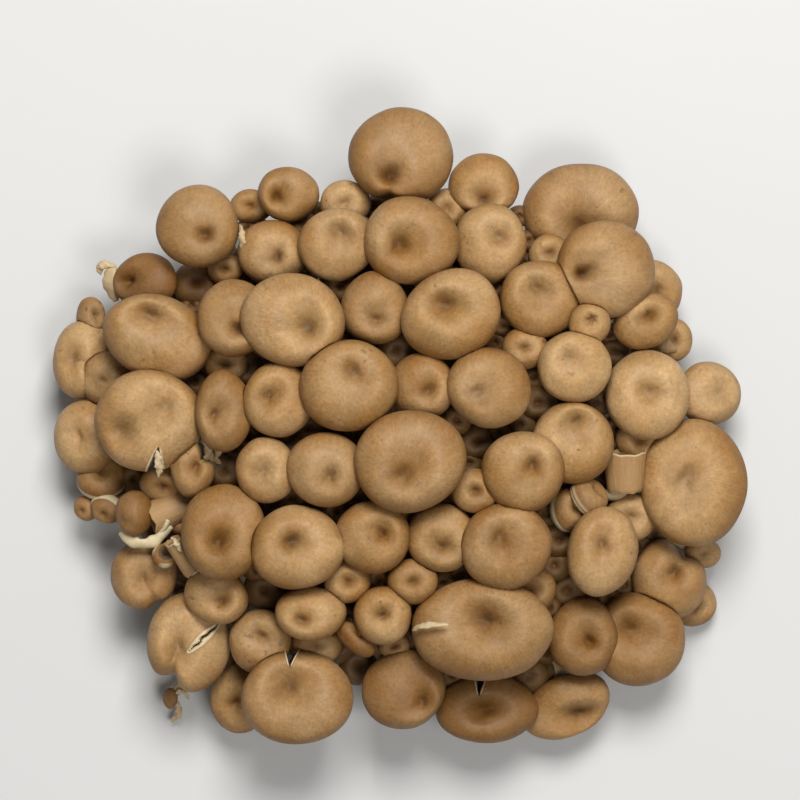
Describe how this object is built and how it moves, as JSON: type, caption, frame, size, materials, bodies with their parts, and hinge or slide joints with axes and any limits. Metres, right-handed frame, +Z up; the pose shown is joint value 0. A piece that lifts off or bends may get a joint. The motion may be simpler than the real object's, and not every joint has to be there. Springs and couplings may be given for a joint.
{
  "type": "beech mushroom cluster",
  "caption": "Cluster of brown beech mushrooms cut off at the root: rolled-edge caps with hollow eyes in a low dome, on pale stems that fan out from one base.",
  "frame": {"origin": "middle of the cut face under the base, on the surface that the cluster stands on", "axes": "+Z up, away from the cut face; +Y towards the top of the cluster as the picture shows it from above; +X to the picture's right"},
  "size_m": [0.147, 0.1339, 0.0432],
  "materials": {
    "cap_skin": "satin",
    "stem_flesh": "matte"
  },
  "bodies": {
    "root": {"cap_01": "cap_skin", "cap_02": "cap_skin", "cap_03": "cap_skin", "cap_04": "cap_skin", "cap_05": "cap_skin", "cap_06": "cap_skin", "cap_07": "cap_skin", "cap_08": "cap_skin", "cap_09": "cap_skin", "cap_10": "cap_skin", "cap_11": "cap_skin", "cap_12": "cap_skin", "cap_13": "cap_skin", "cap_14": "cap_skin", "cap_15": "cap_skin", "cap_16": "cap_skin", "cap_17": "cap_skin", "cap_18": "cap_skin", "cap_19": "cap_skin", "cap_20": "cap_skin", "cap_21": "cap_skin", "cap_22": "cap_skin", "cap_23": "cap_skin", "cap_24": "cap_skin", "cap_25": "cap_skin", "cap_26": "cap_skin", "cap_27": "cap_skin", "cap_28": "cap_skin", "cap_29": "cap_skin", "cap_30": "cap_skin", "cap_31": "cap_skin", "cap_32": "cap_skin", "cap_33": "cap_skin", "cap_34": "cap_skin", "cap_35": "cap_skin", "cap_36": "cap_skin", "cap_37": "cap_skin", "cap_38": "cap_skin", "cap_39": "cap_skin", "cap_40": "cap_skin", "cap_41": "cap_skin", "cap_42": "cap_skin", "cap_43": "cap_skin", "cap_44": "cap_skin", "cap_45": "cap_skin", "cap_46": "cap_skin", "cap_47": "cap_skin", "cap_48": "cap_skin", "cap_49": "cap_skin", "cap_50": "cap_skin", "cap_51": "cap_skin", "cap_52": "cap_skin", "cap_53": "cap_skin", "cap_54": "cap_skin", "cap_55": "cap_skin", "cap_56": "cap_skin", "cap_57": "cap_skin", "cap_58": "cap_skin", "cap_59": "cap_skin", "base_and_stems": "stem_flesh"}
  },
  "joints": []
}
